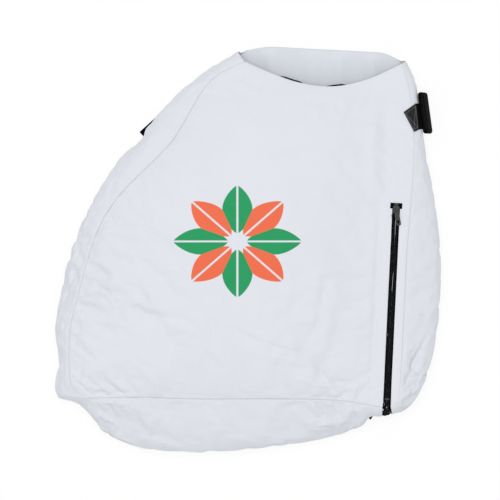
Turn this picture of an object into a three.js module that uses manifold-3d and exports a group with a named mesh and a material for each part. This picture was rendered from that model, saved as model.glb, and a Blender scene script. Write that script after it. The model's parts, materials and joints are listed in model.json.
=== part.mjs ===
// Cloth collection bag of a garden vacuum, lying on its back with its neck toward +Y.
// Millimetres, +Z up, the origin on the floor under the middle of the bag.
import * as THREE from "three";
import { mergeVertices } from "three/addons/utils/BufferGeometryUtils.js";
import Module from "manifold-3d";

const wasm = await Module();
wasm.setup();

// The bag as it lies
const bag_width = 812.7;
const bag_length = 854.7;
const mouth_width = 350.7;
const seam_height = 80; // front seam above the floor round the belly
const mouth_gape = 48; // front lip above the floor
const fold_share = 0.47; // height of the side fold as a share of the front seam's
const crown = 35; // rise of the middle of the front panel
const crown_reach = 190; // from the zip's line to where the crown is at its full height
const crown_round = 0.8; // power of the sine that rounds the crown, below 1 is fuller
const crown_end = 0.95; // share of half a wave that the crown runs from foot to lip
const level_edge = 8; // level cloth beside the zip's tapes
const neck_start = 60; // above the zip, where the seam begins to come down to the mouth
const neck_stop = 45; // beyond the middle of the lip, where it is down
const cloth = 2;
const gap = 0.3;

// The zip
const zip_length = 422;
const zip_lean = 2.75; // degrees from the bag's own length
const slit_width = 16;
const window_width = 25;
const window_length = 12;
const tape_width = 36;
const tape_thickness = 0.8;
const tail_width = 15;
const chain_width = 4;
const chain_height = 3.8;
const chain_split = 1.2; // space between the two tooth rows
const slider_length = 15;
const slider_plate = 1.5;
const stop_length = 3.5;
const stop_offset = 2; // top stops below the upper end of the zip's opening
const pull_length = 34;
const pull_width = 10;
const pull_thickness = 1.6;
const pull_turn = 12; // degrees the pull lies off the zip's line
const pull_dip = 2; // degrees the pull slopes down from the slider
const tail_clear = 0.4; // beside the slit where the zip's tail passes between two gussets
const tail_turn = 2.6; // radians the tail goes round the fold, of pi down to the back seam
const tape_above = 8; // tapes run on above the zip's opening
const bottom_stop_up = 12; // bottom stop above the lower end of the zip

// The webbing
const web_width = 47;
const web_thickness = 1.8;
const loop_length = 88;
const loop_depth = 11.6;
const loop_lean = 15; // degrees of the right loop from upright
const folded_depth = 4.2;
const tab_length = 34;
const tab_turn = 53.13; // degrees of the tab from the bag's width
const tab_seam = 0.8103; // share of the bottom seam beside the tab's inner corner
const tab_clear = 0.484; // cloth of the fold above that corner
const trim_width = 20;
const trim_thickness = 1.2;
const trim_back = 1.5; // trim's edge behind the lip
const trim_peek = 5; // how far it shows where it shows
const trim_drop = 0.7; // space between the lip's cloth and the trim

const V = (x, y, z = 0) => new THREE.Vector3(x, y, z);
const smooth = (a, b, x) => THREE.MathUtils.smoothstep(x, a, b);
const mix = THREE.MathUtils.lerp;

// Plan outlines in hundredths of half the bag's width and length.
// Each row is one station: side fold x, y, front seam x, y, back seam x, y.
const left_rows = [
  [-4.9, 96.1, -1.3, 92.1, -0.3, 98.3],
  [-19.9, 89.2, -17.8, 84.3, -13.2, 82.8],
  [-37, 75.4, -27.6, 71, -12, 62],
  [-54, 58.2, -39, 51.8, -24, 42.5],
  [-69.5, 40.5, -58.1, 34.2, -40, 24.5],
  [-80.4, 22.9, -71.1, 19.9, -50.9, 13.5],
  [-88.6, 5.2, -79.8, 2.7, -56.1, -4.2],
  [-95.3, -16, -85.5, -17.4, -59.7, -21.4],
  [-99.2, -38.1, -91.2, -38.1, -62.3, -39.1],
  [-97.4, -54.8, -91.7, -55.3, -61.2, -55.3],
  [-100, -66.1, -90.7, -67.6, -61.8, -66],
  [-98.4, -73, -84.5, -74, -66.9, -74.4],
];
const bottom_rows = [
  [-98.4, -73, -84.5, -74, -66.9, -74.4],
  [-90.7, -76.4, -82.4, -73.7, -65.9, -75.7],
  [-83.5, -80.3, -77.3, -73.2, -62.8, -76.4],
  [-74.7, -88.7, -66.9, -72.6, -58.7, -77.1],
  [-59.7, -97.5, -50.4, -72.7, -50.4, -77.9],
  [-32.3, -100.5, -29.7, -73.5, -29.7, -78.9],
  [1.3, -99.3, -1.3, -73.5, 1.3, -78.9],
  [34.9, -94.6, 29.7, -73.5, 27.1, -76.9],
  [57.1, -88.2, 53, -74.9, 47.8, -67.1],
  [67.4, -83.3, 67.4, -77.6, 57.1, -65.6],
  [74.7, -81.8, 73.6, -77.4, 63.5, -65],
  [84, -77.9, 77.8, -75.4, 70, -63.5],
];
const right_rows = [
  [84, -77.9, 77.8, -75.4, 70, -63.5],
  [91.7, -64.1, 78.8, -60.7, 71.8, -55],
  [97.4, -45.5, 79.8, -44, 73.1, -43],
  [100, -23.3, 80.9, -23.3, 75.2, -22.4],
  [100, -0.7, 81.9, -1.7, 76.7, -1.2],
  [97.2, 22.9, 84.2, 21.9, 77.3, 21.4],
  [92.8, 44.5, 85.8, 44.5, 78.3, 43.5],
  [89.7, 65.1, 85.5, 65.1, 79.8, 64.1],
  [87.1, 82.8, 82.9, 82.3, 80.4, 80.8],
  [81.4, 92.1, 79.8, 90.9, 77.8, 94.1],
];
const lip_points = [
  [14.2, 85.5],
  [28.2, 81.1],
  [45.2, 79.6],
  [62.3, 83.3],
];
const rim_points = [
  [10.6, 99.9],
  [29.7, 99.1],
  [60.7, 97.6],
  [71.1, 96.8],
];

// A point of the plan in millimetres: the neck keeps the mouth's own width.
const drawn_mouth = right_rows.at(-1)[0] - left_rows[0][0];
const neck_axis = (right_rows.at(-1)[0] + left_rows[0][0]) / 2;
function plan(x, y) {
  const across = (x * bag_width) / 200;
  const axis = (neck_axis * bag_width) / 200;
  const neck = axis + ((x - neck_axis) * mouth_width) / drawn_mouth;
  return V(mix(across, neck, smooth(40, 88, y)), (y * bag_length) / 200);
}
const curve = (points) => new THREE.CatmullRomCurve3(points, false, "centripetal");
const curves = (rows) =>
  [0, 2, 4].map((k) => curve(rows.map((r) => plan(r[k], r[k + 1]))));
const left_side = curves(left_rows);
const bottom_side = curves(bottom_rows);
const right_side = curves(right_rows);

// The zip's own line: its lower end on the bottom seam, its upper end a zip's length away.
const zip_end = plan(71.6, -76.4);
const lean = THREE.MathUtils.degToRad(zip_lean);
const zip_up = V(Math.sin(lean), Math.cos(lean));
const zip_across = V(Math.cos(lean), -Math.sin(lean));
const zip_top = zip_end.clone().addScaledVector(zip_up, zip_length);

// Height of the front seam and of the side fold at a place along the bag.
const mouth_y = plan(...lip_points[1]).y;
const ramp_start = zip_top.y + neck_start;
const seam_z = (y) =>
  mix(seam_height, mouth_gape, smooth(ramp_start, mouth_y + neck_stop, y));
const fold_middle = seam_height * fold_share;

// Closed solid from an outer and an inner grid of points.
function solid(points, faces) {
  const g = new THREE.BufferGeometry().setFromPoints(points);
  g.setIndex(faces.flat());
  let six = 0;
  for (const [a, b, c] of faces)
    six += points[a].dot(points[b].clone().cross(points[c]));
  if (six < 0) g.setIndex(faces.flatMap(([a, b, c]) => [a, c, b]));
  return g;
}
function shell(outer, inner) {
  const rows = outer.length;
  const cols = outer[0].length;
  const points = [...outer.flat(), ...inner.flat()];
  const faces = [];
  const quad = (a, b, c, d) => faces.push([a, b, c], [a, c, d]);
  const at = (i, j) => i * cols + j;
  const low = rows * cols;
  for (let i = 0; i + 1 < rows; i++)
    for (let j = 0; j + 1 < cols; j++) {
      quad(at(i, j), at(i + 1, j), at(i + 1, j + 1), at(i, j + 1));
      quad(low + at(i, j), low + at(i, j + 1), low + at(i + 1, j + 1), low + at(i + 1, j));
    }
  for (let i = 0; i + 1 < rows; i++) {
    quad(at(i, 0), low + at(i, 0), low + at(i + 1, 0), at(i + 1, 0));
    const e = cols - 1;
    quad(at(i, e), at(i + 1, e), low + at(i + 1, e), low + at(i, e));
  }
  for (let j = 0; j + 1 < cols; j++) {
    quad(at(0, j), at(0, j + 1), low + at(0, j + 1), low + at(0, j));
    const e = rows - 1;
    quad(at(e, j), low + at(e, j), low + at(e, j + 1), at(e, j + 1));
  }
  return solid(points, faces);
}

// Band with a four-cornered section carried along a row of sections, closed on itself or capped.
function band(sections, ring = false) {
  const n = sections.length;
  const faces = [];
  const quad = (a, b, c, d) => faces.push([a, b, c], [a, c, d]);
  for (let i = 0; i < (ring ? n : n - 1); i++) {
    const a = i * 4;
    const b = ((i + 1) % n) * 4;
    for (let k = 0; k < 4; k++)
      quad(a + k, b + k, b + ((k + 1) % 4), a + ((k + 1) % 4));
  }
  if (!ring) {
    const e = (n - 1) * 4;
    quad(0, 1, 2, 3);
    quad(e + 3, e + 2, e + 1, e);
  }
  return solid(sections.flat(), faces);
}

// Section of a gusset at one station: over the side fold from the front seam to the back seam.
const arc_steps = 10;
function section(fold, front, back) {
  const top = seam_z(front.y);
  const middle = top * fold_share;
  const out = fold.clone().sub(front).normalize();
  const out_low = fold.clone().sub(back).normalize();
  const outer = [];
  const inner = [];
  for (let k = 0; k <= arc_steps; k++) {
    const a = (Math.PI * k) / arc_steps;
    const s = Math.sin(a);
    const c = Math.cos(a);
    const base = k * 2 <= arc_steps ? front : back;
    const side = k * 2 <= arc_steps ? out : out_low;
    const p = base.clone().lerp(fold, s);
    p.z = c >= 0 ? middle + (top - middle) * c : middle * (1 + c);
    outer.push(p);
    inner.push(p.clone().addScaledVector(side, -s * cloth).add(V(0, 0, -c * cloth)));
  }
  return [outer, inner];
}
function gusset(stations) {
  const made = stations.map((s) => section(...s));
  for (const [i, j] of [
    [0, 1],
    [stations.length - 1, stations.length - 2],
  ]) {
    const [fold, front] = stations[i];
    const across = fold.clone().sub(front).normalize();
    const along = V(-across.y, across.x);
    if (along.dot(stations[j][0].clone().sub(fold)) < 0) along.negate();
    for (const half of made[i]) for (const p of half) p.addScaledVector(along, gap);
  }
  return shell(made.map((m) => m[0]), made.map((m) => m[1]));
}
const stations = (side, ts) => ts.map((t) => side.map((c) => c.getPoint(t)));
const evenly = (n) => Array.from({ length: n + 1 }, (_, i) => i / n);

// Where the zip's tail passes between the bottom and the right gusset, found in steps.
const seam_run = bag_width * 0.9;
let tail_t = 0.5;
for (let i = 0; i < 60; i++)
  tail_t += (zip_end.x - bottom_side[1].getPoint(tail_t).x) / seam_run;
const near_tail = 0.01;
const tail_speed =
  bottom_side[1]
    .getPoint(tail_t + near_tail)
    .distanceTo(bottom_side[1].getPoint(tail_t - near_tail)) /
  (2 * near_tail);
const tail_half = (slit_width / 2 + tail_clear) / tail_speed;
const tail_from = tail_t - tail_half;
const tail_to = tail_t + tail_half;

const side_steps = 22;
const foot_steps = 16;
const side_ts = evenly(side_steps);
const bottom_ts = [
  ...evenly(foot_steps).map((t) => t * tail_from),
  tail_to,
  tail_to + (1 - tail_to) * 0.5,
  1,
];
const left_run = stations(left_side, side_ts);
const bottom_run = stations(bottom_side, bottom_ts);
const right_run = stations(right_side, side_ts);

// A sheet's edge lies just inside its seam.
function inset(points) {
  return points.map((p, i) => {
    const before = i > 0 ? p.clone().sub(points[i - 1]).normalize() : null;
    const after = i + 1 < points.length ? points[i + 1].clone().sub(p).normalize() : null;
    const n0 = before ? V(-before.y, before.x) : V(-after.y, after.x);
    const n1 = after ? V(-after.y, after.x) : n0;
    const n = n0.clone().add(n1).normalize();
    return p.clone().addScaledVector(n, (1.5 * gap) / n.dot(n0));
  });
}

// A sheet between its four edges, seen in plan, with a height for each place.
function sheet(which, top_points, height) {
  const left = left_run.map((s) => s[which]);
  const bottom = bottom_run.map((s) => s[which]);
  const right = right_run.map((s) => s[which]);
  const all = inset([...left, ...bottom.slice(1), ...right.slice(1)]);
  const down = all.slice(0, left.length);
  const foot = all.slice(left.length - 1, left.length + bottom.length - 1);
  const up = all.slice(left.length + bottom.length - 2);
  const top = curve([down[0], ...top_points, up.at(-1)]);
  const grid = side_ts.map((t, i) =>
    bottom_ts.map((u, j) => {
      const a = down[i];
      const b = up[side_ts.length - 1 - i];
      const c = top.getPoint(u);
      const d = foot[j];
      return a
        .clone()
        .multiplyScalar(1 - u)
        .addScaledVector(b, u)
        .addScaledVector(c, 1 - t)
        .addScaledVector(d, t)
        .addScaledVector(down[0], -(1 - u) * (1 - t))
        .addScaledVector(up.at(-1), -u * (1 - t))
        .addScaledVector(foot[0], -(1 - u) * t)
        .addScaledVector(foot.at(-1), -u * t);
    }),
  );
  grid.forEach((row, i) => row.forEach((p, j) => (p.z = height(p, bottom_ts[j], 1 - side_ts[i]))));
  return grid;
}
const lowered = (grid, by) => grid.map((row) => row.map((p) => p.clone().add(V(0, 0, -by))));

// The middle of the front panel stands up, the band along the zip stays level.
function front_height(p, u, v) {
  const beside = zip_across.dot(zip_end.clone().sub(p).setZ(0));
  const across = Math.pow(Math.sin(Math.PI * u), crown_round);
  const along = Math.pow(Math.sin(Math.PI * crown_end * v), crown_round);
  const off_zip = smooth(tape_width / 2 + level_edge, crown_reach, beside);
  return seam_z(p.y) + crown * across * along * off_zip;
}
const front_grid = sheet(1, lip_points.map((p) => plan(...p)), front_height);
const back_grid = sheet(2, rim_points.map((p) => plan(...p)), () => cloth);

// Solids that are cut or joined.
function solid_of(geometry) {
  const bare = geometry.index ? geometry.toNonIndexed() : geometry.clone();
  bare.deleteAttribute("normal");
  bare.deleteAttribute("uv");
  const merged = mergeVertices(bare, 1e-4);
  return new wasm.Manifold(
    new wasm.Mesh({
      numProp: 3,
      vertProperties: merged.attributes.position.array,
      triVerts: new Uint32Array(merged.index.array),
    }),
  );
}
function geometry_of(made) {
  const out = made.getMesh();
  const g = new THREE.BufferGeometry();
  g.setAttribute("position", new THREE.BufferAttribute(new Float32Array(out.vertProperties), 3));
  g.setIndex(new THREE.BufferAttribute(new Uint32Array(out.triVerts), 1));
  return g;
}
function outline(points) {
  return new THREE.Shape(points.map(([x, y]) => new THREE.Vector2(x, y)));
}
const extruded = (shape, depth) =>
  new THREE.ExtrudeGeometry(shape, { depth, bevelEnabled: false, curveSegments: 8 });

// The slit in the front panel, with its wider window at the top.
const slit_half = slit_width / 2;
const window_half = window_width / 2;
const tool_size = 60; // past the cloth below the seam, and from under it to over it
const slit_tool = extruded(
  outline([
    [-slit_half, -tool_size],
    [slit_half, -tool_size],
    [slit_half, zip_length - window_length],
    [window_half, zip_length - window_length],
    [window_half, zip_length],
    [-window_half, zip_length],
    [-window_half, zip_length - window_length],
    [-slit_half, zip_length - window_length],
  ]),
  tool_size,
)
  .rotateZ(-lean)
  .translate(zip_end.x, zip_end.y, seam_height - tool_size / 2);
const front_geometry = geometry_of(
  solid_of(shell(front_grid, lowered(front_grid, cloth))).subtract(solid_of(slit_tool)),
);
const back_geometry = shell(back_grid, lowered(back_grid, cloth));

const left_geometry = gusset(left_run);
const bottom_geometry = gusset(bottom_run.slice(0, foot_steps + 1));
const right_geometry = gusset([...bottom_run.slice(foot_steps + 1), ...right_run.slice(1)]);

// The zip's middle line: level under the slit, then over the fold at the bottom edge.
const zip_drop = cloth + gap + tape_thickness / 2;
const zip_z = seam_height - zip_drop;
const on_zip = (down) =>
  zip_top
    .clone()
    .addScaledVector(zip_up, -down)
    .setZ(zip_z);
const [tail_fold, , tail_back] = bottom_side.map((c) => c.getPoint(tail_t));
const tail_out = tail_fold.clone().sub(zip_end).normalize();
const tail_under = tail_fold.clone().sub(tail_back).normalize();
const tail_steps = 12;
const tail_sections = evenly(tail_steps).slice(1).map((k) => {
  const a = k * tail_turn;
  const out = tail_out.clone().lerp(tail_under, smooth(1.1, 2, a)).normalize();
  const normal = out.clone().multiplyScalar(Math.sin(a)).setZ(Math.cos(a));
  const over = a < Math.PI / 2;
  const p = (over ? zip_end : tail_back).clone().lerp(tail_fold, Math.sin(a));
  const half_height = over ? seam_height - fold_middle : fold_middle;
  p.z = fold_middle + half_height * Math.cos(a);
  p.addScaledVector(normal, -zip_drop);
  return { p, normal, across: V(-out.y, out.x), wide: false };
});
function strip(from, u0, u1, w) {
  const up = V(0, 0, 1);
  // Full width down to 16 mm above the seam, the tail's width from 6 mm above it.
  const level = [from, zip_length - 16, zip_length - 6, zip_length - 0.5].map((s, i) => ({
    p: on_zip(s),
    normal: up,
    across: zip_across,
    wide: i < 2,
  }));
  return band(
    [...level, ...tail_sections].map(({ p, normal, across, wide }) => {
      const edge = wide ? u1 : Math.sign(u1) * Math.min(Math.abs(u1), tail_width / 2);
      const at = (u, v) => p.clone().addScaledVector(across, u).addScaledVector(normal, v);
      return [at(u0, -w), at(edge, -w), at(edge, w), at(u0, w)];
    }),
  );
}
const chain_in = chain_split / 2;
const chain_out = chain_in + chain_width;
const tape = (sign) =>
  strip(-tape_above, (chain_out + gap) * sign, (tape_width / 2) * sign, tape_thickness / 2);
const chain_start = stop_offset + stop_length + gap;
const chain = (sign) => strip(chain_start, chain_in * sign, chain_out * sign, chain_height / 2);

// Frame that rides on the zip: x across, y up the zip, z off the tape.
function on_tape(down) {
  const g = new THREE.Group();
  g.position.copy(on_zip(down));
  g.rotation.z = -lean;
  return g;
}
const stop_height = chain_height + 1.6;
const clip_thickness = 1.2;
const clip_length = 4;

// The slider: two plates round both tooth rows, a post between the rows and a bridge for the pull.
const slider_wall = 1.2;
const channel = chain_out + 0.7;
const slider_half = channel + slider_wall;
const channel_height = chain_height / 2 + gap;
const plate_top = channel_height + slider_plate;
const lip_height = tape_thickness;
const bridge_width = 3;
const hinge_height = plate_top + 1.5;
const bridge_inside = 1.85;
const bridge_outside = 3.3;
const bridge_clear = hinge_height + 1.7;
const bridge_top = bridge_clear + 1.4;
const half_slider = outline([
  [-slider_half, plate_top],
  [-slider_half, lip_height],
  [-channel, lip_height],
  [-channel, channel_height],
  [channel, channel_height],
  [channel, lip_height],
  [slider_half, lip_height],
  [slider_half, plate_top],
]);
const upper_half = extruded(half_slider, slider_length)
  .translate(0, 0, -slider_length / 2)
  .rotateX(Math.PI / 2);
const lower_half = upper_half.clone().rotateY(Math.PI);
const post_length = 4;
const post = new THREE.BoxGeometry(
  chain_split - 2 * gap,
  post_length,
  2 * channel_height + slider_plate,
).translate(0, (slider_length - post_length) / 2, 0);
const bridge = extruded(
  outline([
    [-bridge_outside, plate_top - 0.5],
    [-bridge_inside, plate_top - 0.5],
    [-bridge_inside, bridge_clear],
    [bridge_inside, bridge_clear],
    [bridge_inside, plate_top - 0.5],
    [bridge_outside, plate_top - 0.5],
    [bridge_outside, bridge_top],
    [-bridge_outside, bridge_top],
  ]),
  bridge_width,
)
  .translate(0, 0, -bridge_width / 2)
  .rotateX(Math.PI / 2)
  .rotateZ(Math.PI / 2);
const slider_geometry = geometry_of(
  [lower_half, post, bridge].reduce((made, g) => made.add(solid_of(g)), solid_of(upper_half)),
);

// The pull: an eye round the bridge, a neck and a tab with an oval hole.
function pull_shape() {
  const half = pull_width / 2;
  const end = pull_length;
  const eye_half = 4; // half the width of the eye
  const eye_down = 5.6; // end of the eye's straight sides
  const tab_down = 9.5; // start of the tab's straight sides
  const bar = 0.8; // half the bar that turns in the bridge
  const corner = 4;
  const s = new THREE.Shape();
  s.moveTo(bar - eye_half, bar);
  s.lineTo(eye_half - bar, bar);
  s.quadraticCurveTo(eye_half, bar, eye_half, 0);
  s.lineTo(eye_half, -eye_down);
  s.quadraticCurveTo(eye_half, -7.4, half, -tab_down);
  s.lineTo(half, corner - end);
  s.quadraticCurveTo(half, -end, half - corner, -end);
  s.lineTo(corner - half, -end);
  s.quadraticCurveTo(-half, -end, -half, corner - end);
  s.lineTo(-half, -tab_down);
  s.quadraticCurveTo(-eye_half, -7.4, -eye_half, -eye_down);
  s.lineTo(-eye_half, 0);
  s.quadraticCurveTo(-eye_half, bar, bar - eye_half, bar);
  const hole_half = 2.6;
  const hole_end = 6;
  const eye = outline([
    [-hole_half, -bar],
    [-hole_half, -hole_end],
    [hole_half, -hole_end],
    [hole_half, -bar],
  ]);
  const oval_half = [2, 4];
  const oval_up = 8; // middle of the oval above the pull's end
  const oval = outline(
    evenly(16)
      .slice(1)
      .map((k) => 2 * Math.PI * k)
      .map((a) => [oval_half[0] * Math.cos(a), oval_up - end + oval_half[1] * Math.sin(a)]),
  );
  s.holes.push(eye, oval);
  return s;
}
const pull_geometry = extruded(pull_shape(), pull_thickness).translate(0, 0, -pull_thickness / 2);

// Closed ring of webbing: along, wide and off are its own length, width and depth.
function web_ring(centre, along, wide, off, depth) {
  const r = (depth - web_thickness) / 2;
  const h = (loop_length - depth) / 2;
  const sections = [1, -1].flatMap((side) =>
    evenly(8).map((k) => {
      const a = Math.PI * (k - 0.5 + (side > 0 ? 0 : 1));
      const normal = along
        .clone()
        .multiplyScalar(Math.cos(a))
        .addScaledVector(off, Math.sin(a));
      const p = centre.clone().addScaledVector(along, side * h).addScaledVector(normal, r);
      const at = (w, t) => p.clone().addScaledVector(wide, w).addScaledVector(normal, t);
      const w = web_width / 2;
      const t = web_thickness / 2;
      return [at(-w, -t), at(w, -t), at(w, t), at(-w, t)];
    }),
  );
  return band(sections, true);
}

// The right loop leans outward beside the neck's fold.
const loop_from = plan(89.2, 77.5);
const loop_to = plan(92.3, 55.9);
const loop_along = loop_to.clone().sub(loop_from).normalize();
const loop_out = V(-loop_along.y, loop_along.x);
const tilt = THREE.MathUtils.degToRad(loop_lean);
const loop_wide = loop_out.clone().multiplyScalar(Math.sin(tilt)).setZ(-Math.cos(tilt));
const loop_off = loop_out.clone().multiplyScalar(Math.cos(tilt)).setZ(Math.sin(tilt));
const loop_centre = loop_from
  .clone()
  .lerp(loop_to, 0.5)
  .addScaledVector(loop_out, (web_width / 2) * Math.sin(tilt))
  .setZ((web_width / 2) * Math.cos(tilt) + (loop_depth / 2) * Math.sin(tilt));

// The left loop lies folded flat under the overhang of the fold, across the neck's side.
const flat_corner = plan(-56.3, 57.7);
const flat_along = plan(-41.1, 70.8).sub(flat_corner).normalize();
const flat_wide = V(flat_along.y, -flat_along.x);
const flat_centre = flat_corner
  .clone()
  .addScaledVector(flat_along, loop_length / 2)
  .addScaledVector(flat_wide, web_width / 2)
  .setZ(folded_depth / 2);

// The right strap's sewn end follows the panel and the gusset under it.
const patch_corners = [plan(80.5, 66.9), plan(85.8, 57.1), plan(88.4, 58.2), plan(87.1, 71.4)];
const below = new THREE.Raycaster();
const under_patch = [front_geometry, right_geometry].map((g) => new THREE.Mesh(g));
const past_seam = 2 * gap; // the highest of three places, so that none falls into the seam
const cloth_top = (p) =>
  Math.max(
    ...[-past_seam, 0, past_seam].map((dx) => {
      below.set(V(p.x + dx, p.y, 2 * (seam_height + crown)), V(0, 0, -1));
      return below.intersectObjects(under_patch)[0].point.z;
    }),
  );
const patch_steps = [10, 12];
const patch_grid = evenly(patch_steps[0]).map((a) =>
  evenly(patch_steps[1]).map((b) => {
    const p = patch_corners[0].clone().lerp(patch_corners[1], a);
    p.lerp(patch_corners[3].clone().lerp(patch_corners[2], a), b);
    return p.setZ(cloth_top(p) + gap + web_thickness);
  }),
);

// The tape behind the front lip, further out where it peeks from under the lip.
// The shows are in hundredths of the mouth's width from its left end.
const trim_shows = [
  [4, 14],
  [33, 41],
  [97, 104],
];
function trim() {
  const edge = front_grid[0];
  const next = front_grid[1];
  const drop = cloth + gap + trim_drop;
  const sections = edge.map((p, j) => {
    const share = ((p.x - plan(lip_points[0][0], 0).x) / mouth_width) * 100;
    const peeks = trim_shows.some(([a, b]) => share > a && share < b);
    const inward = next[j].clone().sub(p);
    const dir = inward.clone().divideScalar(Math.hypot(inward.x, inward.y));
    const at = (d, z) => p.clone().addScaledVector(dir, d).add(V(0, 0, z));
    const out = peeks ? -trim_peek : trim_back;
    return [
      at(out, -drop - trim_thickness),
      at(trim_width, -drop - trim_thickness),
      at(trim_width, -drop),
      at(out, -drop),
    ];
  });
  return band(sections);
}

const bag = new THREE.Group();
function piece(name, geometry, colour, roughness, metalness = 0, to = bag) {
  const m = new THREE.Mesh(
    geometry,
    new THREE.MeshStandardMaterial({ color: colour, roughness, metalness }),
  );
  m.name = name;
  to.add(m);
  return m;
}
const cloth_colour = 0xdfe1e8;
const web_colour = 0x0a0a0b;
piece("front_panel", front_geometry, cloth_colour, 0.85);
piece("back_panel", back_geometry, 0xd8dce3, 0.85);
piece("left_gusset", left_geometry, 0xdde0e7, 0.85);
piece("bottom_gusset", bottom_geometry, 0xdde2e8, 0.85);
piece("right_gusset", right_geometry, 0xdde0e7, 0.85);
piece("lip_trim", trim(), 0x1b1b1d, 0.8);
for (const [side, sign] of [
  ["left", -1],
  ["right", 1],
]) {
  piece(`zip_tape_${side}`, tape(sign), 0x222427, 0.85);
  piece(`zip_chain_${side}`, chain(sign), 0x2c2f33, 0.5);
  const stop = new THREE.BoxGeometry(chain_width, stop_length, stop_height).translate(
    sign * (chain_in + chain_width / 2),
    0,
    0,
  );
  const place = on_tape(stop_offset + stop_length / 2);
  bag.add(place);
  piece(`zip_top_stop_${side}`, stop, 0x2c2f33, 0.5, 0.3, place);
}
const foot_place = on_tape(zip_length - bottom_stop_up);
bag.add(foot_place);
piece(
  "zip_bottom_stop",
  new THREE.BoxGeometry(2 * chain_out, clip_length, clip_thickness).translate(
    0,
    0,
    chain_height / 2 + gap + clip_thickness / 2,
  ),
  0x2c2f33,
  0.5,
  0.3,
  foot_place,
);
const slider_clear = 0.5; // from the top stops' side of the rows to the slider
const slider = on_tape(chain_start + slider_clear + slider_length / 2);
bag.add(slider);
piece("zip_slider", slider_geometry, 0x34393d, 0.45, 0.6, slider);
const hinge = new THREE.Group();
hinge.position.z = hinge_height;
hinge.rotation.set(THREE.MathUtils.degToRad(pull_dip), 0, THREE.MathUtils.degToRad(pull_turn), "ZYX");
slider.add(hinge);
piece("zip_pull", pull_geometry, 0x34393d, 0.45, 0.6, hinge);

piece("strap_patch_right", shell(patch_grid, lowered(patch_grid, web_thickness)), 0x37363a, 0.95);
piece(
  "hang_loop_right",
  web_ring(loop_centre, loop_along, loop_wide, loop_off, loop_depth),
  web_colour,
  0.8,
);
piece(
  "hang_loop_left",
  web_ring(flat_centre, flat_along, flat_wide, V(0, 0, 1), folded_depth),
  web_colour,
  0.8,
);
const tab = piece(
  "grab_tab",
  new THREE.BoxGeometry(tab_length, web_width, web_thickness).translate(
    tab_length / 2,
    web_width / 2,
    web_thickness / 2,
  ),
  web_colour,
  0.8,
);
tab.rotation.z = THREE.MathUtils.degToRad(tab_turn);

// Its inner corner lies where the fold's underside clears the webbing.
const under_cos = (web_thickness + tab_clear) / fold_middle - 1;
const tab_inner = bottom_side[2]
  .getPoint(tab_seam)
  .lerp(bottom_side[0].getPoint(tab_seam), Math.sqrt(1 - under_cos * under_cos));
tab.position.copy(tab_inner).sub(V(tab_length, web_width).applyEuler(tab.rotation));

export default bag;
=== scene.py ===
# %% [markdown]
# # A cloth collection bag, lying on its back
# The bag is a sack of pale woven cloth, sewn from five pieces: a large front panel, three gussets
# round its sides and foot, and a back panel on the floor. It has an open neck, a zip and black
# webbing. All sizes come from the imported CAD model. Each cloth piece starts from a copy of its
# CAD node, which is made finer, wrinkled, creased and stitched, so that it can't drift from the
# place the model gives it.

import math
from collections import deque

import bmesh
import bpy
import numpy as np
from mathutils import Matrix, Vector, noise
from mathutils.bvhtree import BVHTree
from mathutils.kdtree import KDTree
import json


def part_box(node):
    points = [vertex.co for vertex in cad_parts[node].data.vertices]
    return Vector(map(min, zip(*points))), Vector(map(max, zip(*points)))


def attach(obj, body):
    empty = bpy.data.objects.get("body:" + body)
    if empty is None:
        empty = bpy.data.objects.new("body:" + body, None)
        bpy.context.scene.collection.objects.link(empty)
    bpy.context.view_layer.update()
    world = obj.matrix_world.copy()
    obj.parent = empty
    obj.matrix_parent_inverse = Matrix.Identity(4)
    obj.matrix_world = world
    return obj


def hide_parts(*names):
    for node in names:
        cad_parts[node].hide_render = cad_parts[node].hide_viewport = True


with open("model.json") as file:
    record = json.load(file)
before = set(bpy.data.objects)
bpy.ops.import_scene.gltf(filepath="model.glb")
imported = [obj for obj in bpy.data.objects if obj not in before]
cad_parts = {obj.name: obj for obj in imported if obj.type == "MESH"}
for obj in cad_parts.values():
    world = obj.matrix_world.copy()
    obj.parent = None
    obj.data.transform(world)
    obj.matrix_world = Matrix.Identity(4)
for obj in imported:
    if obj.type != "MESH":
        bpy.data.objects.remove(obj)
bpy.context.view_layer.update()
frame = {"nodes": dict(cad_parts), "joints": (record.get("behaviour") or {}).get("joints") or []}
scene = bpy.context.scene
MM = 0.001
UP = Vector((0, 0, 1))
slide = next(j for j in frame["joints"] if j["type"] == "slide")
swing = next(j for j in frame["joints"] if j["type"] == "hinge")
zip_down = Vector(slide["axis"]).normalized()
zip_across = Vector((-zip_down.y, zip_down.x, 0)).normalized()
hinge_at = Vector(swing["pos_m"])

# %% [markdown]
# ## Taking a piece from the frame
# A CAD node is a mesh of loose triangles. A copy of it is merged, and its triangles are joined
# back into four-sided faces, because subdivision rounds those off evenly. Cloth needs only one
# side of its thin solid: the faces are parted at the sharp rims, and the side that faces out is
# kept. It could be drawn anew from the outline, but then the outline would be written twice.

# %% Copies of CAD nodes
SAME_POINT = 0.02 * MM
FLAT_ENOUGH, SQUARE_ENOUGH = math.radians(25), math.radians(70)
SKIN_RIM = 55


def cad_copy(node):
    bm = bmesh.new()
    bm.from_mesh(frame["nodes"][node].data)
    bmesh.ops.remove_doubles(bm, verts=bm.verts, dist=SAME_POINT)
    return bm


def rejoin(bm):
    bmesh.ops.join_triangles(
        bm, faces=bm.faces, angle_face_threshold=FLAT_ENOUGH, angle_shape_threshold=SQUARE_ENOUGH
    )


def sharp_edges(bm, degrees):
    most = math.radians(degrees)
    return [e for e in bm.edges if e.is_manifold and e.calc_face_angle() > most]


def islands(bm):
    left, found = set(bm.faces), []
    while left:
        queue, island = deque([left.pop()]), []
        while queue:
            face = queue.popleft()
            island.append(face)
            beside = {f for edge in face.edges for f in edge.link_faces} & left
            left -= beside
            queue.extend(beside)
        found.append(island)
    return found


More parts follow.
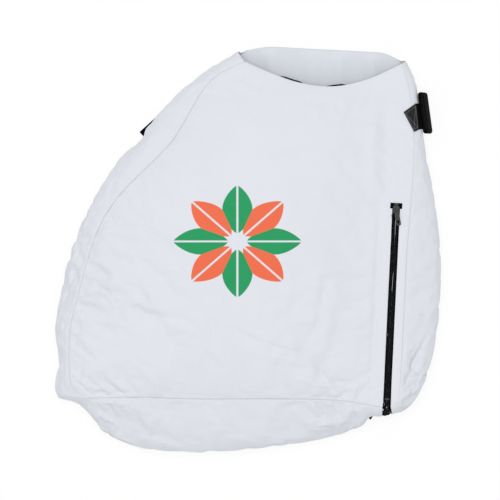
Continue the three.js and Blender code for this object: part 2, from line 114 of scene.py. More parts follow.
def skin(node, facing):
    bm = cad_copy(node)
    bmesh.ops.split_edges(bm, edges=sharp_edges(bm, SKIN_RIM))

    def shown(island):
        toward = sum(f.normal.dot(facing) * f.calc_area() for f in island) if facing else 0
        return sum(f.calc_area() for f in island) + toward

    kept = set(max(islands(bm), key=shown))
    bmesh.ops.delete(bm, geom=[f for f in bm.faces if f not in kept], context="FACES")
    rejoin(bm)
    return bm


# %% Objects from bmesh, and their points as arrays
def new_object(name, bm):
    mesh = bpy.data.meshes.new(name)
    bm.to_mesh(mesh)
    bm.free()
    mesh.polygons.foreach_set("use_smooth", [True] * len(mesh.polygons))
    obj = bpy.data.objects.new(name, mesh)
    scene.collection.objects.link(obj)
    return obj


def make_real(obj):
    graph = bpy.context.evaluated_depsgraph_get()
    done = bpy.data.meshes.new_from_object(obj.evaluated_get(graph))
    obj.modifiers.clear()
    obj.data = done
    return obj


def vectors_of(mesh, what):
    flat = np.empty(len(mesh.vertices) * 3)
    mesh.vertices.foreach_get(what, flat)
    return flat.reshape(-1, 3)


def set_points(obj, points):
    obj.data.vertices.foreach_set("co", np.ascontiguousarray(points).ravel())
    obj.data.update()


def ramp(low, high, x):
    t = np.clip((np.asarray(x) - low) / (high - low), 0, 1)
    return t * t * (3 - 2 * t)


# %% [markdown]
# ## The five cloth skins
# Each skin is subdivided three times, to points about 4 mm apart, which is fine enough for the
# puckers that sewing leaves. A corner of the cut keeps its point: its vertex is creased fully.

# %% Cloth skins
CLOTHS = {
    "front_panel": UP,
    "left_gusset": None,
    "bottom_gusset": None,
    "right_gusset": None,
    "back_panel": UP,
}
CORNER = math.radians(35)
FINE = 3
SEAM_GAP = 1.1 * MM


def hold_corners(bm):
    held = bm.verts.layers.float.new("crease_vert")
    for v in bm.verts:
        rim = [e.other_vert(v).co - v.co for e in v.link_edges if e.is_boundary]
        if len(rim) == 2 and rim[0].angle(-rim[1], 0) > CORNER:
            v[held] = 1


def finer(obj, levels):
    mod = obj.modifiers.new("finer", "SUBSURF")
    mod.levels = mod.render_levels = levels
    mod.boundary_smooth = "PRESERVE_CORNERS"
    return make_real(obj)


rough = {}
for node, facing in CLOTHS.items():
    bm = skin(node, facing)
    hold_corners(bm)
    rough[node] = bm
    print("skin of", node, len(bm.faces), "faces")


def sewn_sack():
    bm = bmesh.new()
    for node in CLOTHS:
        if node != "back_panel":
            part = bpy.data.meshes.new(node)
            rough[node].to_mesh(part)
            bm.from_mesh(part)
            bpy.data.meshes.remove(part)
    bmesh.ops.remove_doubles(bm, verts=bm.verts, dist=SEAM_GAP)
    return new_object("sack", bm)


sack = sewn_sack()
cloths = {node: finer(new_object(node + "_cloth", rough[node]), FINE) for node in CLOTHS}
print("fine cloth", {node: len(o.data.vertices) for node, o in cloths.items()}, "points")


# %% [markdown]
# ## Rims and near pieces
# Two measures steer every wrinkle. The distance from the nearest rim says where the seams hold
# the cloth. The distance from the nearest piece of webbing or zip says where the cloth has to
# stay calm, so that it neither sinks into a strap nor pokes through one.

# %% Distances from the rims and from the fittings
FITTINGS = [n for n in frame["nodes"] if n not in CLOTHS]
CALM_FROM, CALM_TO = 3 * MM, 26 * MM


def rims_of(obj):
    bm = bmesh.new()
    bm.from_mesh(obj.data)
    bm.verts.ensure_lookup_table()
    found = [v.co.copy() for v in bm.verts if v.is_boundary]
    bm.free()
    return found


def tree_of(points):
    tree = KDTree(len(points))
    for i, p in enumerate(points):
        tree.insert(p, i)
    tree.balance()
    return tree


def bvh_of(*bms):
    both = bmesh.new()
    for bm in bms:
        mesh = bpy.data.meshes.new("part")
        bm.to_mesh(mesh)
        bm.free()
        both.from_mesh(mesh)
        bpy.data.meshes.remove(mesh)
    tree = BVHTree.FromBMesh(both)
    both.free()
    return tree


rim_tree = {node: tree_of(rims_of(obj)) for node, obj in cloths.items()}
fitting_tree = bvh_of(*[cad_copy(n) for n in FITTINGS])


def rim_distance(points, nodes):
    return np.array([min(rim_tree[n].find(p)[2] for n in nodes) for p in points])


def calm(points):
    away = np.array([fitting_tree.find_nearest(p)[3] for p in points])
    return ramp(CALM_FROM, CALM_TO, away)


# %% [markdown]
# ## Puckers by simulation
# Sewing thread pulls a seam a little shorter than its cloth, so the cloth beside it puckers.
# Drawn ripples look regular. Here all pieces are joined into one sack, the seams are pinned, and
# the cloth between them grows by three hundredths. It has to buckle, in ripples that cross the
# seams. Only the quick part of the buckling is kept. The slow swelling is averaged out again,
# because the frame already has the sack's form.

# %% Letting the cloth grow between its seams
GROWTH = 0.03
FRAMES = 22
PINNED = 5 * MM
SEED_BUMP = 1.0 * MM
SEED_SCALE = 40
CALM_ENOUGH = 0.1
SLOW_PASSES = 60
FABRIC = {
    "quality": 4,
    "mass": 0.2,
    "tension_stiffness": 20,
    "compression_stiffness": 20,
    "shear_stiffness": 8,
    "bending_stiffness": 0.3,
    "air_damping": 3,
    "shrink_min": -GROWTH,
    "vertex_group_mass": "pins",
}


def averaged(values, edges, passes):
    count = np.bincount(edges.ravel(), minlength=len(values)) + 1.0
    for _ in range(passes):
        total = values.copy()
        for k in range(3):
            total[:, k] += np.bincount(edges[:, 0], values[edges[:, 1], k], len(values))
            total[:, k] += np.bincount(edges[:, 1], values[edges[:, 0], k], len(values))
        values = total / count[:, None]
    return values


def simulated(sack):
    rest = vectors_of(sack.data, "co")
    bumps = [noise.noise(Vector(p) * SEED_SCALE) * SEED_BUMP for p in rest]
    set_points(sack, rest + vectors_of(sack.data, "normal") * np.array(bumps)[:, None])
    near = rim_distance(rest, [n for n in CLOTHS if n != "back_panel"])
    held = (near < PINNED) | (rest[:, 2] < PINNED) | (calm(rest) < CALM_ENOUGH)
    pins = sack.vertex_groups.new(name="pins")
    pins.add(np.flatnonzero(held).tolist(), 1.0, "REPLACE")
    mod = sack.modifiers.new("cloth", "CLOTH")
    for key, value in FABRIC.items():
        setattr(mod.settings, key, value)
    mod.settings.effector_weights.gravity = 0
    mod.collision_settings.use_collision = False
    mod.point_cache.frame_start, mod.point_cache.frame_end = 1, FRAMES
    for step in range(1, FRAMES + 1):
        scene.frame_set(step)
    make_real(sack)
    scene.frame_set(1)
    moved = vectors_of(sack.data, "co") - rest
    edges = np.array([e.vertices[:] for e in sack.data.edges])
    return rest, moved - averaged(moved, edges, SLOW_PASSES)


finer(sack, FINE)
pucker = None
pucker = simulated(sack)
print("puckers mm, median and most", np.percentile(np.abs(pucker[1]) / MM, [50, 100]).round(2))
bpy.data.objects.remove(sack)


# %% [markdown]
# ## Creases that are in this bag
# A few creases are part of how this bag was folded and filled: a dimple at the neck's left, an
# arc on the belly, and the folds at the foot. A simulation can't be asked for those, so they are
# strokes. Each has a width, a height in millimetres (a valley is below zero) and a short run of
# places, in pixels of the picture.

# %% The strokes
PIXEL = 2.1 * MM
MIDDLE = (247.5, 248.5)
SOFT, FOLD, SHARP = 16 * MM, 8 * MM, 3.5 * MM
STROKE_ENDS = 0.06, 0.94
STROKES = [
    (FOLD, -3.0, [(236, 44), (239, 56), (242, 72)]),
    (SOFT, 1.5, [(246, 52), (251, 72)]),
    (SOFT, -1.6, [(262, 150), (290, 147), (312, 128)]),
    (SOFT, -1.4, [(300, 96), (320, 103), (334, 120)]),
    (SOFT, -2.0, [(389, 104), (387, 150), (389, 196)]),
    (SOFT, 2.0, [(376, 104), (372, 150), (374, 192)]),
    (SHARP, -2.0, [(324, 276), (322, 296), (317, 320), (308, 338), (298, 352)]),
    (SOFT, 1.8, [(334, 276), (333, 300), (326, 326), (312, 346)]),
    (SHARP, -2.2, [(298, 350), (318, 368), (340, 390), (357, 405)]),
    (FOLD, 1.3, [(306, 344), (330, 364), (350, 386)]),
    (SHARP, -1.6, [(302, 352), (277, 347), (254, 338), (230, 326)]),
    (FOLD, 0.9, [(300, 362), (272, 357), (246, 347)]),
    (FOLD, -1.8, [(80, 289), (110, 291), (146, 298)]),
    (FOLD, 1.2, [(82, 296), (112, 299), (142, 306)]),
    (FOLD, -1.6, [(84, 256), (112, 258), (142, 264)]),
    (FOLD, -1.6, [(130, 312), (160, 315), (190, 321)]),
    (FOLD, -1.4, [(78, 268), (96, 271), (116, 277)]),
    (FOLD, -1.4, [(74, 303), (92, 306), (120, 315)]),
    (FOLD, -1.2, [(72, 320), (94, 326), (126, 330)]),
    (FOLD, -1.0, [(100, 236), (118, 240), (140, 244)]),
    (FOLD, -1.2, [(118, 200), (132, 206), (150, 210)]),
    (FOLD, -1.8, [(98, 397), (116, 394), (135, 392)]),
    (FOLD, 1.5, [(98, 403), (120, 400), (140, 400)]),
    (FOLD, -1.4, [(180, 400), (178, 414), (172, 428)]),
    (FOLD, -1.2, [(232, 400), (234, 416), (230, 432)]),
    (FOLD, -1.4, [(286, 400), (290, 414), (288, 430)]),
    (FOLD, -1.8, [(318, 398), (324, 410), (326, 424)]),
    (FOLD, -3.0, [(402, 364), (401, 372), (398, 380)]),
    (SHARP, -1.8, [(427, 336), (420, 352), (413, 368)]),
    (SHARP, -2.0, [(413, 376), (406, 382), (399, 388)]),
    (FOLD, -2.5, [(399, 401), (404, 404), (409, 409)]),
    (FOLD, -1.4, [(412, 300), (420, 292), (430, 290)]),
    (FOLD, -1.4, [(415, 214), (424, 208), (432, 207)]),
    (FOLD, -1.2, [(417, 252), (427, 250), (437, 252)]),
    (SOFT, 2.4, [(168, 118), (140, 154), (118, 188)]),
    (FOLD, -1.8, [(72, 274), (66, 290), (61, 312)]),
    (FOLD, -1.8, [(72, 392), (82, 398), (92, 408)]),
    (FOLD, -4.0, [(381, 212), (377, 300), (372, 392)]),
    (FOLD, -5.0, [(424, 344), (414, 366), (402, 384)]),
]
NECK_RIPPLES = [
    (SOFT, 5.0, [(268, 40), (272, 70), (276, 96)]),
    (SOFT, 4.0, [(310, 40), (313, 70), (314, 96)]),
    (SOFT, 5.0, [(338, 40), (340, 70), (342, 96)]),
    (SOFT, 4.0, [(372, 40), (374, 70), (372, 96)]),
]


def place(px, py):
    return np.array([(px - MIDDLE[0]) * PIXEL, (MIDDLE[1] - py) * PIXEL])


def stroke_height(points, strokes):
    total = np.zeros(len(points))
    for width, height, run in strokes:
        places = [place(*p) for p in run]
        lengths = [np.linalg.norm(b - a) for a, b in zip(places, places[1:])]
        nearest, along, past = np.full(len(points), np.inf), np.zeros(len(points)), 0.0
        for a, b, length in zip(places, places[1:], lengths):
            t = np.clip((points[:, :2] - a) @ (b - a) / length**2, 0, 1)
            away = np.linalg.norm(points[:, :2] - a - t[:, None] * (b - a), axis=1)
            closer = away < nearest
            nearest = np.where(closer, away, nearest)
            along = np.where(closer, past + t * length, along)
            past += length
        ends = np.sqrt(np.sin(np.pi * np.clip(along / past, *STROKE_ENDS)))
        total += height * MM * ends * np.exp(-((nearest / width) ** 2))
    return total


# %% [markdown]
# ## Shaping each skin
# The strokes, a slight unevenness and the seams' grooves are added along each point's normal, and
# the puckers as they came. A seam is a groove because both cloths turn inwards to their
# stitching. All of it but an inward shift fades where a fitting is near, and nothing may sink
# below the floor. At a few places on the outline the cloth bulges or tucks in: each has a place
# and a reach in pixels, and a shift away from the middle in millimetres.

# %% Adding the relief
GROOVE, GROOVE_WIDTH = 0.12 * MM, 4.5 * MM
PUCKER_LEAST, PUCKER_GAIN, PUCKER_MOST = 0.55, 1.7, 5 * MM
PUCKERED = [((96, 285), 62), ((112, 398), 40), ((330, 408), 34), ((404, 384), 30)]
UNEVEN, UNEVEN_SLOW, UNEVEN_QUICK, QUICK_SHARE = 1.6 * MM, 9, 26, 0.5
STROKE_GAIN = 1.8
FLOOR_CLEAR = 0.3 * MM
BLENDED_OVER = 4
HELD_BACK, HELD_RIM = 20 * MM, 12 * MM
STEEP, LEVEL = 0.1, 0.6
GROOVE_LEAST = 0.35
NUDGED_ABOVE = 5 * MM, 18 * MM
NUDGES = [
    ((109, 436), 14, 7.0),
    ((77, 403), 12, -6.0),
    ((56, 332), 14, 3.0),
    ((137, 142), 11, -7.0),
    ((238, 50), 12, 4.0),
    ((407, 64), 12, 3.5),
    ((427, 376), 12, 3.0),
    ((372, 419), 6, -9.0),
    ((141, 134), 5, -5.0),
]


def pucker_gain(points):
    near = np.zeros(len(points))
    for centre, reach in PUCKERED:
        away = np.linalg.norm(points[:, :2] - place(*centre), axis=1) / (reach * PIXEL)
        near = np.maximum(near, np.exp(-(away**2)))
    return PUCKER_LEAST + (PUCKER_GAIN - PUCKER_LEAST) * near


def nudges_at(points, loose):
    middle, total = place(*MIDDLE), np.zeros_like(points)
    high = ramp(*NUDGED_ABOVE, points[:, 2])
    for centre, reach, shift in NUDGES:
        at = place(*centre)
        way = (at - middle) / np.linalg.norm(at - middle)
        near = np.exp(-((np.linalg.norm(points[:, :2] - at, axis=1) / (reach * PIXEL)) ** 2))
        total[:, :2] += (near * high * (loose if shift > 0 else 1) * shift)[:, None] * way * MM
    return total


def puckers_at(points):
    rest, moved = pucker
    tree = tree_of(rest)
    out = np.zeros_like(points)
    for i, p in enumerate(points):
        near = tree.find_n(p, BLENDED_OVER)
        weights = np.array([1 / (d + MM) ** 2 for _, _, d in near])
        out[i] = weights @ moved[[k for _, k, _ in near]] / weights.sum()
    return out


def unevenness(points):
    slow = [noise.noise(Vector(p) * UNEVEN_SLOW) for p in points]
    quick = [noise.noise(Vector(p) * UNEVEN_QUICK + UP) for p in points]
    return (np.array(slow) + QUICK_SHARE * np.array(quick)) * UNEVEN


def shape(node):
    obj = cloths[node]
    points, out = vectors_of(obj.data, "co"), vectors_of(obj.data, "normal")
    loose = calm(points)
    rim = rim_distance(points, [node])
    if node == "back_panel":
        lift = stroke_height(points, NECK_RIPPLES) * ramp(0, HELD_BACK, rim)
        points[:, 2] += np.maximum(lift, 0)
        set_points(obj, points)
        return
    facing = ramp(STEEP, LEVEL, out[:, 2])
    relief = stroke_height(points, STROKES) * STROKE_GAIN * facing + unevenness(points)
    relief *= ramp(0, HELD_RIM, rim) * loose
    relief -= GROOVE * np.exp(-((rim / GROOVE_WIDTH) ** 2)) * np.maximum(loose, GROOVE_LEAST)
    moved = out * relief[:, None] + nudges_at(points, loose)
    if pucker:
        quick = puckers_at(points) * pucker_gain(points)[:, None]
        size = np.linalg.norm(quick, axis=1)[:, None]
        quick *= np.minimum(1, PUCKER_MOST / np.maximum(size, 1e-9))
        moved += quick * loose[:, None]
    points += moved
    points[:, 2] = np.maximum(points[:, 2], FLOOR_CLEAR)
    set_points(obj, points)
    print(node, "moved at most mm", round(np.abs(moved).max() / MM, 1))


for node in CLOTHS:
    shape(node)

# %% [markdown]
# ## Closing the seams
# The relief moves the two sides of a seam a little apart. Each rim point of the front panel is
# put on the nearest rim point of a gusset, where one is near enough to be its partner in the
# seam.

# %% Seams closed
SEAM_REACH = 1.6 * MM


def close_seams(sheet, gussets):
    edge = tree_of([p for n in gussets for p in rims_of(cloths[n])])
    bm = bmesh.new()
    bm.from_mesh(cloths[sheet].data)
    closed = 0
    for v in bm.verts:
        if v.is_boundary:
            spot, _, away = edge.find(v.co)
            if away < SEAM_REACH:
                v.co, closed = spot, closed + 1
    bm.to_mesh(cloths[sheet].data)
    bm.free()
    return closed


print("seam points closed", close_seams("front_panel", [n for n in CLOTHS if "gusset" in n]))

# %% [markdown]
# ## Cloth has two sides
# A live Solidify gives each skin its thickness, inwards, so that the outside stays where it was
# shaped.

# %% Thickness, and who carries what
CLOTH_THICK = 1.0 * MM


def thicken(obj, thickness):
    mod = obj.modifiers.new("thickness", "SOLIDIFY")
    mod.thickness = thickness
    mod.offset = -1
    mod.use_even_offset = False
    mod.use_quality_normals = False


def carry(obj, body, material, slot, *nodes):
    obj.data.materials.clear()
    obj.data.materials.append(material)
    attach(obj, body)
    if nodes:
        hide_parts(*nodes)
    return obj


for obj in cloths.values():
    thicken(obj, CLOTH_THICK)


# %% [markdown]
# ## The cloth's finish
# The cloth is a coated polyester plain weave: pale, slightly blue and matt with a faint gloss.
# Its threads are about a millimetre apart, so the weave is a bump and not geometry. It reads
# Object coordinates: three crossed waves give a weave on any side of the sack, without a UV map.

# %% Node helpers
NOISE_LOW, NOISE_HIGH = 0.3, 0.7


def nodes_of(name, colour, roughness):
    mat = bpy.data.materials.new(name)
    mat.use_nodes = True
    shader = mat.node_tree.nodes["Principled BSDF"]
    shader.inputs["Base Color"].default_value = linear(colour)
    shader.inputs["Roughness"].default_value = roughness
    return mat, mat.node_tree, shader


def linear(colour):
    shares = [c / 255 for c in colour]
    return (*[s / 12.92 if s < 0.04045 else ((s + 0.055) / 1.055) ** 2.4 for s in shares], 1)


def add_node(tree, kind, **given):
    made = tree.nodes.new("ShaderNode" + kind)
    for key, value in given.items():
        if hasattr(made, key):
            setattr(made, key, value)
        else:
            made.inputs[key].default_value = value
    return made


def math_node(tree, operation, a, b=None, c=None):
    made = add_node(tree, "Math", operation=operation)
    for socket, value in zip(made.inputs, (a, b, c)):
        if isinstance(value, (int, float)):
            socket.default_value = value
        elif value is not None:
            tree.links.new(value, socket)
    return made.outputs[0]


def object_places(tree, turn=(0, 0, 0), centre=(0, 0, 0)):
    coords = add_node(tree, "TexCoord")
    mapping = add_node(tree, "Mapping", vector_type="TEXTURE")
    mapping.inputs["Location"].default_value = centre
    mapping.inputs["Rotation"].default_value = turn
    tree.links.new(coords.outputs["Object"], mapping.inputs["Vector"])
    return mapping.outputs[0]


def bump(tree, shader, height, strength, distance, normal=None):
    made = add_node(tree, "Bump")
    made.inputs["Strength"].default_value = strength
    made.inputs["Distance"].default_value = distance
    tree.links.new(height, made.inputs["Height"])
    if normal:
        tree.links.new(normal, made.inputs["Normal"])
    tree.links.new(made.outputs[0], shader.inputs["Normal"])
    return made.outputs[0]


def weave(tree, places, pitch):
    parts = add_node(tree, "SeparateXYZ")
    tree.links.new(places, parts.inputs[0])
    turns = 2 * math.pi / pitch
    waves = [
        math_node(tree, "SINE", math_node(tree, "MULTIPLY", axis, turns))
        for axis in parts.outputs
    ]
    pairs = [
        math_node(tree, "MULTIPLY", waves[a], waves[b]) for a, b in ((0, 1), (1, 2), (0, 2))
    ]
    return math_node(tree, "ADD", math_node(tree, "ADD", pairs[0], pairs[1]), pairs[2])


def mottle(tree, places, scale, low, high):
    made = add_node(tree, "TexNoise", Scale=scale, Detail=3.0)
    tree.links.new(places, made.inputs["Vector"])
    spread = add_node(tree, "MapRange")
    tree.links.new(made.outputs["Fac"], spread.inputs["Value"])
    ends = {"From Min": NOISE_LOW, "From Max": NOISE_HIGH, "To Min": low, "To Max": high}
    for socket, value in ends.items():
        spread.inputs[socket].default_value = value
    return spread.outputs[0]


def mixed(tree, share, a, b):
    made = add_node(tree, "Mix", data_type="RGBA")
    for socket, value in ((0, share), (6, a), (7, b)):
        if isinstance(value, bpy.types.NodeSocket):
            tree.links.new(value, made.inputs[socket])
        else:
            made.inputs[socket].default_value = value
    return made.outputs[2]


# %% The cloth finish, with an optional print
THREAD_PITCH = 1.2 * MM
CLOTH_LOOK = {
    "Roughness": 0.62,
    "Sheen Weight": 0.06,
    "Sheen Roughness": 0.5,
    "Specular IOR Level": 0.35,
}
CLOTH_TONES = (14.0, 0.985, 1.0)
GRAIN_SCALE, GRAIN_BUMP = 420.0, (0.12, 0.3 * MM)
WEAVE_BUMP = (0.14, 0.12 * MM)


def cloth_finish(name, colour, printed=None):
    mat, tree, shader = nodes_of(name, colour, CLOTH_LOOK["Roughness"])
    for socket, value in CLOTH_LOOK.items():
        shader.inputs[socket].default_value = value
    places = object_places(tree)
    tone = mottle(tree, places, *CLOTH_TONES)
    shade = mixed(tree, tone, (0, 0, 0, 1), linear(colour))
    if printed:
        shade = printed(tree, shade)
    tree.links.new(shade, shader.inputs["Base Color"])
    grain = add_node(tree, "TexNoise", Scale=GRAIN_SCALE, Detail=2.0)
    tree.links.new(places, grain.inputs["Vector"])
    soft = bump(tree, shader, grain.outputs["Fac"], *GRAIN_BUMP)
    bump(tree, shader, weave(tree, places, THREAD_PITCH), *WEAVE_BUMP, soft)
    return mat


# %% [markdown]
# ## The print
# A printed emblem sits in the middle of the front panel. It is ink on the cloth, so it has no
# geometry, only a colour that is masked by a formula. This one is a rosette of eight leaves, in
# turn green and orange, each with a pale midrib. The plane is folded into eight equal wedges by
# its angle, so that one leaf, drawn once, appears eight times. An image would do as well, but a
# formula needs no file.

# %% The rosette of leaves
PRINT_CENTRE = (-21 * MM, 14.7 * MM, 0)
PRINT_HALF = (133.5 * MM, 116.5 * MM)
GREEN, ORANGE = (6, 149, 87), (236, 105, 67)
LEAVES = 8
LEAF_FROM, LEAF_WIDE, MIDRIB = 0.14, 0.235, 0.016
EDGE = 0.006
LEAF_FULLNESS = 0.75


def rosette(tree, cloth_shade):
    places = object_places(tree, centre=PRINT_CENTRE)
    parts = add_node(tree, "SeparateXYZ")
    tree.links.new(places, parts.inputs[0])
    x, y = (math_node(tree, "DIVIDE", parts.outputs[k], PRINT_HALF[k]) for k in (0, 1))
    squares = math_node(tree, "MULTIPLY_ADD", x, x, math_node(tree, "MULTIPLY", y, y))
    away = math_node(tree, "SQRT", squares)
    angle = math_node(tree, "ARCTAN2", y, x)
    wedge = 2 * math.pi / LEAVES
    turns = math_node(tree, "ADD", math_node(tree, "DIVIDE", angle, wedge), LEAVES + 0.5)
    number = math_node(tree, "FLOOR", turns)
    within = math_node(tree, "SUBTRACT", math_node(tree, "FRACT", turns), 0.5)
    turned = math_node(tree, "MULTIPLY", within, wedge)
    along = math_node(tree, "MULTIPLY", away, math_node(tree, "COSINE", turned))
    across = math_node(tree, "MULTIPLY", away, math_node(tree, "SINE", turned))
    aside = math_node(tree, "ABSOLUTE", across)
    past_middle = math_node(tree, "SUBTRACT", along, LEAF_FROM)
    share = math_node(tree, "DIVIDE", past_middle, 1 - LEAF_FROM)
    within_leaf = math_node(tree, "MINIMUM", math_node(tree, "MAXIMUM", share, 0.0), 1.0)
    inside = math_node(tree, "MULTIPLY", within_leaf, math.pi)
    swell = math_node(tree, "POWER", math_node(tree, "SINE", inside), LEAF_FULLNESS)
    width = math_node(tree, "MULTIPLY", swell, LEAF_WIDE)

    def soft_step(value):
        spread = add_node(tree, "MapRange", interpolation_type="SMOOTHSTEP")
        spread.inputs["From Min"].default_value = -EDGE
        spread.inputs["From Max"].default_value = EDGE
        tree.links.new(value, spread.inputs["Value"])
        return spread.outputs[0]

    leaf = soft_step(math_node(tree, "SUBTRACT", width, aside))
    rib = soft_step(math_node(tree, "SUBTRACT", aside, MIDRIB))
    ink = math_node(tree, "MULTIPLY", leaf, rib)
    odd = math_node(tree, "FLOORED_MODULO", number, 2.0)
    colour = mixed(tree, odd, linear(GREEN), linear(ORANGE))
    return mixed(tree, ink, cloth_shade, colour)


# %% Cloth finishes on the five skins
FRONT_PALE, SIDE_PALE, BACK_PALE = (224, 226, 233), (222, 225, 232), (222, 226, 233)
front_cloth = cloth_finish("front cloth", FRONT_PALE, rosette)
side_cloth = cloth_finish("side cloth", SIDE_PALE)
back_cloth = cloth_finish("back cloth", BACK_PALE)
SLOTS = {"front_panel": (front_cloth, "front_cloth"), "back_panel": (back_cloth, "back_cloth")}
for name, obj in cloths.items():
    finish, slot = SLOTS.get(name, (side_cloth, "side_cloth"))
    carry(obj, "bag", finish, slot, name)

# %% [markdown]
# ## The cloth's flat sizes
# Every panel is a sheet, cut flat before it was sewn. Its flat size is the box of its pattern,
# and its area is that of the pattern inside the box: the gussets unroll to curved strips. The area
# of one side of each shaped skin is printed beside the area of its cut.

# %% Flat sizes of the five panels
FLAT = {
    "front_panel": ((0.700, 0.740), 0.427),
    "back_panel": ((0.590, 0.760), 0.353),
    "left_gusset": ((0.880, 0.310), 0.1685),
    "bottom_gusset": ((0.640, 0.280), 0.1392),
    "right_gusset": ((0.860, 0.270), 0.1222),
}


def one_side(obj):
    bm = bmesh.new()
    bm.from_mesh(obj.data)
    area = sum(f.calc_area() for f in bm.faces)
    bm.free()
    return area


for name, obj in cloths.items():
    (wide, long), area = FLAT[name]
    print(name, "one side of the mesh", round(one_side(obj), 4), "m2, cut", area)

# %% [markdown]
# ## Sewing thread
# Stitches are short thread loops, pulled into the cloth. One stitch is a small stretched sphere
# of few faces, and rows of it follow a rim at a set distance. Each one is put on the nearest spot
# of the shaped cloth, because the cloth is no longer where the CAD had it. A row starts at the
# first rim point in the mesh's own order, so that every run sews the same stitches.

# %% Rows of stitches
STITCH_PITCH, STITCH_LONG, STITCH_HALF = 4.6 * MM, 3.2 * MM, 0.5 * MM
STITCH_SINKS, STITCH_FLAT, STITCH_STRAYS = 0.3, 0.8, 0.35
cloth_tree = {}
for name, obj in cloths.items():
    bm = bmesh.new()
    bm.from_mesh(obj.data)
    cloth_tree[name] = BVHTree.FromBMesh(bm)
    bm.free()


def rim_loops(obj):
    bm = bmesh.new()
    bm.from_mesh(obj.data)
    rim = [v for v in bm.verts if v.is_boundary]
    left, loops = set(rim), []
    for first in rim:
        if first not in left:
            continue
        left.discard(first)
        v, loop = first, [first]
        while v:
            beside = [e.other_vert(v) for e in v.link_edges if e.is_boundary]
            v = next((w for w in beside if w in left), None)
            if v:
                left.discard(v)
                loop.append(v)
        loops.append([w.co.copy() for w in loop])
    bm.free()
    return loops


def stepped(run, pitch, closed=True):
    run = run + run[:1] if closed else run
    out, rest = [], 0.0
    for a, b in zip(run, run[1:]):
        length, way = (b - a).length, (b - a).normalized()
        while rest < length:
            out.append((a + way * rest, way))
            rest += pitch
        rest -= length
    return out


one = bmesh.new()
bmesh.ops.create_uvsphere(one, u_segments=6, v_segments=4, radius=1)
bead = bpy.data.meshes.new("bead")
one.to_mesh(bead)
one.free()


def stitch(bm, at, way, normal, long=STITCH_LONG, half=STITCH_HALF):
    side = normal.cross(way).normalized()
    way = side.cross(normal).normalized()
    turn = Matrix((way, side, normal)).transposed().to_4x4()
    size = Matrix.Diagonal((long / 2, half, half * STITCH_FLAT, 1))
    copy = bead.copy()
    copy.transform(Matrix.Translation(at) @ turn @ size)
    bm.from_mesh(copy)
    bpy.data.meshes.remove(copy)


def row_beside(bm, run, name, inset, keep):
    tree, put = cloth_tree[name], 0
    for at, way in stepped(run, STITCH_PITCH):
        if not keep(at):
            continue
        _, normal, _, _ = tree.find_nearest(at)
        inward = normal.cross(way).normalized() * inset
        tries = [tree.find_nearest(at + side * inward) for side in (1, -1)]
        spot, normal, _, _ = min(tries, key=lambda t: abs((t[0] - at).length - inset))
        if abs((spot - at).length - inset) < inset * STITCH_STRAYS:
            stitch(bm, spot + normal * STITCH_HALF * STITCH_SINKS, way, normal)
            put += 1
    return put


zip_tree = bvh_of(*[cad_copy(n) for n in FITTINGS if n.startswith("zip_tape")])
STITCH_FROM_ZIP, STITCH_ABOVE = 4 * MM, 20 * MM


def is_sewn(p):
    return p.z > STITCH_ABOVE and zip_tree.find_nearest(p)[3] > STITCH_FROM_ZIP


SEAM_INSET = 4 * MM
THREAD_WHITE, THREAD_ROUGH = (232, 234, 238), 0.5
bm = bmesh.new()
count = 0
for name in ("front_panel", "left_gusset", "bottom_gusset", "right_gusset"):
    for loop in rim_loops(cloths[name]):
        count += row_beside(bm, loop, name, SEAM_INSET, is_sewn)
stitches = new_object("seam_stitches", bm)
print(count, "stitches,", len(stitches.data.polygons), "faces")
thread, _, _ = nodes_of("sewing thread", THREAD_WHITE, THREAD_ROUGH)
carry(stitches, "bag", thread, "front_cloth")

# %% [markdown]
# ## Webbing
# The straps are black polypropylene webbing: flat, woven, with ribs along their length and round
# edges. Each starts from its CAD node. Its sharp edges are bevelled, and its ribs are a bump that
# a Mapping node turns into the strap's own direction. The ribs are under 2 mm, so a bump is
# enough.

# %% The webbing finish
RIB = 1.7 * MM
RIB_DEPTH = 0.35 * MM
PICK, PICK_HEIGHT = 0.7, 0.4
FUZZ_SCALE, FUZZ_BUMP = 900.0, (0.3, 0.4 * MM)
# The patch's grey is painted sheen: black webbing painted lighter where it lies flat under the
# light.
BLACK, PATCH_SHEEN_GREY = (5, 5, 6), (50, 49, 53)


def webbing_finish(
    name, colour, turn, rib=RIB, strength=0.5, roughness=0.8, gloss=0.04, flecks=(120, 0.7, 1.25)
):
    mat, tree, shader = nodes_of(name, colour, roughness)
    shader.inputs["Specular IOR Level"].default_value = gloss
    places = object_places(tree, turn)
    parts = add_node(tree, "SeparateXYZ")
    tree.links.new(places, parts.inputs[0])
    turns = 2 * math.pi / rib
    ribs = math_node(tree, "SINE", math_node(tree, "MULTIPLY", parts.outputs[1], turns))
    picks = math_node(tree, "SINE", math_node(tree, "MULTIPLY", parts.outputs[0], turns / PICK))
    height = math_node(tree, "MULTIPLY_ADD", picks, PICK_HEIGHT, ribs)
    fuzz = add_node(tree, "TexNoise", Scale=FUZZ_SCALE, Detail=2.0)
    tree.links.new(places, fuzz.inputs["Vector"])
    soft = bump(tree, shader, fuzz.outputs["Fac"], *FUZZ_BUMP)
    bump(tree, shader, height, strength, RIB_DEPTH, soft)
    tone = mottle(tree, places, *flecks)
    tree.links.new(mixed(tree, tone, (0, 0, 0, 1), linear(colour)), shader.inputs["Base Color"])
    return mat


def strap_turn(along, off):
    wide = off.cross(along)
    return Matrix((along, wide, off)).transposed().to_euler()


def strap_axes(node_name):
    points = vectors_of(frame["nodes"][node_name].data, "co")
    points = np.unique(points.round(6), axis=0)
    _, _, axes = np.linalg.svd(points - points.mean(0), full_matrices=False)
    along, _, off = (Vector(a).normalized() for a in axes)
    return along, off


STRAP_RIM = 60
LOOP_EDGE, LIP_EDGE, PATCH_EDGE, ZIP_EDGE = 0.5 * MM, 0.3 * MM, 0.4 * MM, 0.2 * MM


